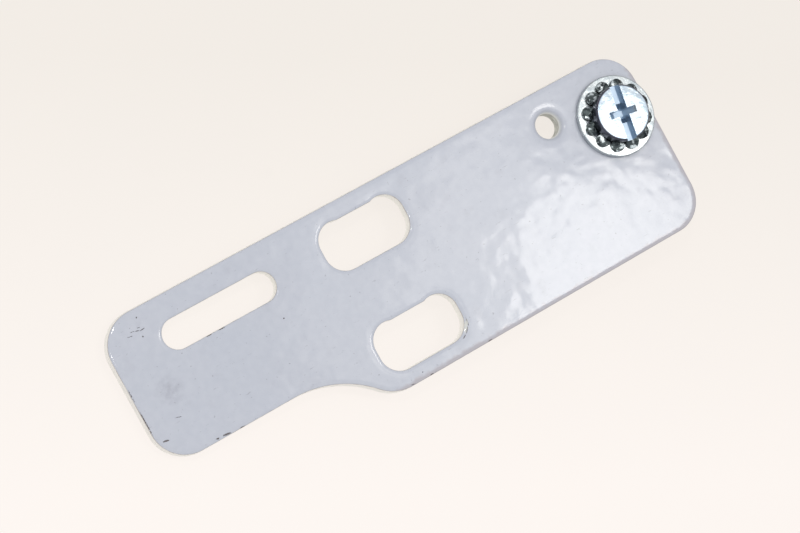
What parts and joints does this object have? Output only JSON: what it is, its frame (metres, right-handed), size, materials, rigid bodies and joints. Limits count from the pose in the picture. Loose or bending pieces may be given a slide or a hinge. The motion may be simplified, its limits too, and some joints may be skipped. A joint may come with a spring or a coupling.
{
  "type": "hinge plate",
  "caption": "Flat stepped hinge plate with an adjusting slot, wide lobed openings, a spare tapped hole, and a clamp screw held with a toothed lock washer and a flat washer.",
  "frame": {"origin": "on the clamp screw's axis, in the plate's back face", "axes": "+X along the plate towards its near end, beside the screw; +Y across it towards the straight long edge; +Z out of the enamelled face"},
  "size_m": [0.1001, 0.032, 0.012],
  "materials": {
    "enamel": "glossy light grey enamel, slightly rippled",
    "zinc_washer": "bright zinc plate",
    "zinc_lock_washer": "bright zinc plate over spring steel",
    "zinc_screw": "bright zinc plate"
  },
  "bodies": {
    "root": {"hinge_plate": "enamel", "flat_washer": "zinc_washer", "tooth_lock_washer": "zinc_lock_washer", "clamp_screw": "zinc_screw"}
  },
  "joints": []
}
